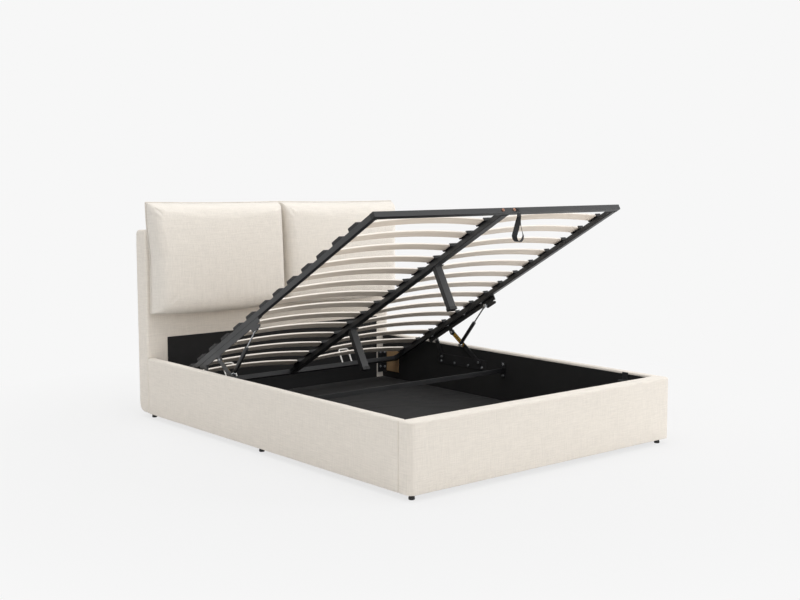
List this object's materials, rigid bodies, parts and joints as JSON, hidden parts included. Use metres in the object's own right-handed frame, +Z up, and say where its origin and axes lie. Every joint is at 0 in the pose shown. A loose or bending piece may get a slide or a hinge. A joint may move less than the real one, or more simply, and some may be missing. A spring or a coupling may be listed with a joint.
{
  "type": "ottoman storage bed",
  "caption": "Upholstered ottoman storage bed with a slatted platform raised on lift arms and gas struts, and two loose headboard cushions.",
  "frame": {"origin": "on the floor, under the middle of the bed's outer width and length", "axes": "+X across the bed, +Y from the foot to the headboard, +Z up; the platform is stored raised"},
  "size_m": [1.59, 2.182, 1.1102],
  "materials": {
    "cream_fabric": "textured off-white upholstery weave",
    "cushion_fabric": "textured off-white upholstery weave over soft filling",
    "black_lining": "black non-woven lining",
    "floor_cloth": "dark grey woven dust cloth",
    "board": "raw particle board and softwood",
    "hardboard": "smooth hardboard",
    "plywood": "raw plywood",
    "birch": "clear-coated laminated birch",
    "black_steel": "matt black powder coat",
    "black_plastic": "moulded black plastic",
    "yellow_zinc": "yellow-passivated zinc plate",
    "zinc": "bright zinc plate",
    "chrome_rod": "polished hard chrome",
    "webbing": "woven black webbing",
    "coppery_bolt": "copper-toned furniture bolt",
    "white_wire": "white-coated wire"
  },
  "bodies": {
    "root": {"headboard_core": "board", "headboard_cover": "cream_fabric", "head_lining": "black_lining", "cushion_left": "cushion_fabric", "cushion_right": "cushion_fabric", "hook_strips": "webbing", "side_board_left": "board", "side_board_right": "board", "side_cover_left": "cream_fabric", "side_cover_right": "cream_fabric", "side_linings": "black_lining", "foot_board": "board", "foot_cover": "cream_fabric", "foot_lining": "black_lining", "floor_battens": "board", "floor_panels": "hardboard", "floor_cloth": "floor_cloth", "feet": "black_plastic", "corner_brackets": "black_steel", "head_pads": "plywood", "platform_rests": "black_steel", "cross_bar": "black_steel", "cross_bar_plates": "black_steel", "hinge_plates": "black_steel", "hinge_pins": "zinc", "rail_bolts": "zinc"},
    "lift_arms": {"lift_arm_left": "black_steel", "lift_arm_right": "black_steel", "arm_doublers": "yellow_zinc"},
    "platform": {"platform_foot_tube": "black_steel", "platform_head_bar": "black_steel", "platform_side_tube_left": "black_steel", "platform_side_tube_right": "black_steel", "platform_centre_rail": "black_steel", "tube_caps": "black_plastic", "slats_left": "birch", "slats_right": "birch", "slat_holders_left": "black_plastic", "slat_holders_right": "black_plastic", "centre_slat_holders": "black_plastic", "centre_legs": "black_steel", "leg_caps": "black_plastic", "mattress_retainers": "white_wire", "lift_bars": "black_steel", "platform_pins": "zinc", "strut_studs": "zinc", "strap_tab": "webbing", "strap_screw": "black_plastic", "lift_bar_bolts": "zinc", "joint_bolts": "coppery_bolt"},
    "rear_links": {"rear_links": "black_steel"},
    "strut_rods": {"strut_rod_left": "chrome_rod", "strut_rod_right": "chrome_rod"},
    "strut_cylinders": {"strut_cylinder_left": "black_steel", "strut_cylinder_right": "black_steel"},
    "pull_strap": {"pull_strap": "webbing"}
  },
  "joints": [
    {"name": "platform_tilt", "type": "hinge", "parent": "lift_arms", "child": "platform", "pos_m": [0, 0.36582, 0.3776], "axis": [1, 0, 0], "range_deg": [0, 64.24]},
    {"name": "arm_swing", "type": "hinge", "parent": "root", "child": "lift_arms", "pos_m": [0, 0.15413, 0.23382], "axis": [1, 0, 0], "range_deg": [-35.04, 0], "stiffness_Nm_per_rad": 40.3, "springref_deg": 143.81},
    {"name": "link_swing", "type": "hinge", "parent": "root", "child": "rear_links", "pos_m": [0, 0.45176, 0.23136], "axis": [1, 0, 0], "range_deg": [-57.73, 0]},
    {"name": "strut_tilt", "type": "hinge", "parent": "platform", "child": "strut_rods", "pos_m": [0, 0.08022, 0.55325], "axis": [1, 0, 0], "range_deg": [0, 17.6]},
    {"name": "strut_slide", "type": "slide", "parent": "strut_rods", "child": "strut_cylinders", "axis": [0, -0.6441, 0.7649], "range_m": [0, 0.07797]},
    {"name": "strap_swing", "type": "hinge", "parent": "platform", "child": "pull_strap", "pos_m": [0.06, -0.81751, 1.08915], "axis": [1, 0, 0], "range_deg": [-40, 25]}
  ],
  "couplings": [
    {"joint": "platform_tilt", "follows": "arm_swing", "ratio": -1.8333},
    {"joint": "link_swing", "follows": "arm_swing", "ratio": 1.6475},
    {"joint": "strut_tilt", "follows": "arm_swing", "ratio": -0.50228},
    {"joint": "strut_slide", "follows": "arm_swing", "m_per_rad": -0.12747}
  ]
}
